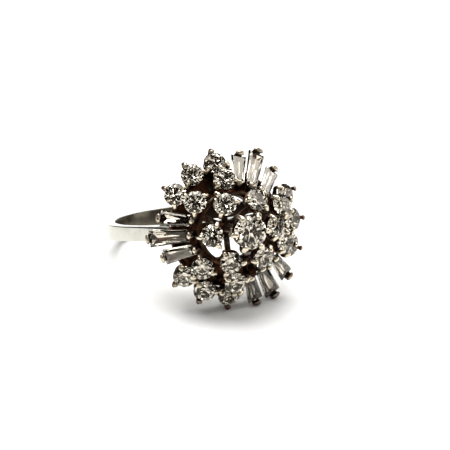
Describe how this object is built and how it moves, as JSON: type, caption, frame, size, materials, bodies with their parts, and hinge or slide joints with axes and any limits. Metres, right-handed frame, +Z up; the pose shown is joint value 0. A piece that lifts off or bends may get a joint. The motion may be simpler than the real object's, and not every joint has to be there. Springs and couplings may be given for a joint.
{
  "type": "openwork cluster ring",
  "caption": "Openwork domed cluster ring with round stones and fans of tapered baguettes on a plain finger band, lying on its side.",
  "frame": {"origin": "on the surface that the ring lies on, under the middle of the ring's box", "axes": "+Z up from the surface; +Y from the head towards the back of the band; the head faces -Y and a little up"},
  "size_m": [0.0194, 0.0284, 0.0162],
  "materials": {
    "white_gold": "polished white gold, tarnished brown in the recesses",
    "diamond": "clear faceted stone"
  },
  "bodies": {
    "root": {"shank": "white_gold", "setting": "white_gold", "centre_stone": "diamond", "inner_stone_1": "diamond", "inner_stone_2": "diamond", "inner_stone_3": "diamond", "inner_stone_4": "diamond", "inner_stone_5": "diamond", "inner_stone_6": "diamond", "middle_stone_1": "diamond", "middle_stone_2": "diamond", "middle_stone_3": "diamond", "middle_stone_4": "diamond", "middle_stone_5": "diamond", "middle_stone_6": "diamond", "outer_stone_1": "diamond", "outer_stone_2": "diamond", "outer_stone_3": "diamond", "outer_stone_4": "diamond", "outer_stone_5": "diamond", "outer_stone_6": "diamond", "outer_stone_7": "diamond", "outer_stone_8": "diamond", "outer_stone_9": "diamond", "baguette_1": "diamond", "baguette_2": "diamond", "baguette_3": "diamond", "baguette_4": "diamond", "baguette_5": "diamond", "baguette_6": "diamond", "baguette_7": "diamond", "baguette_8": "diamond", "baguette_9": "diamond"}
  },
  "joints": []
}
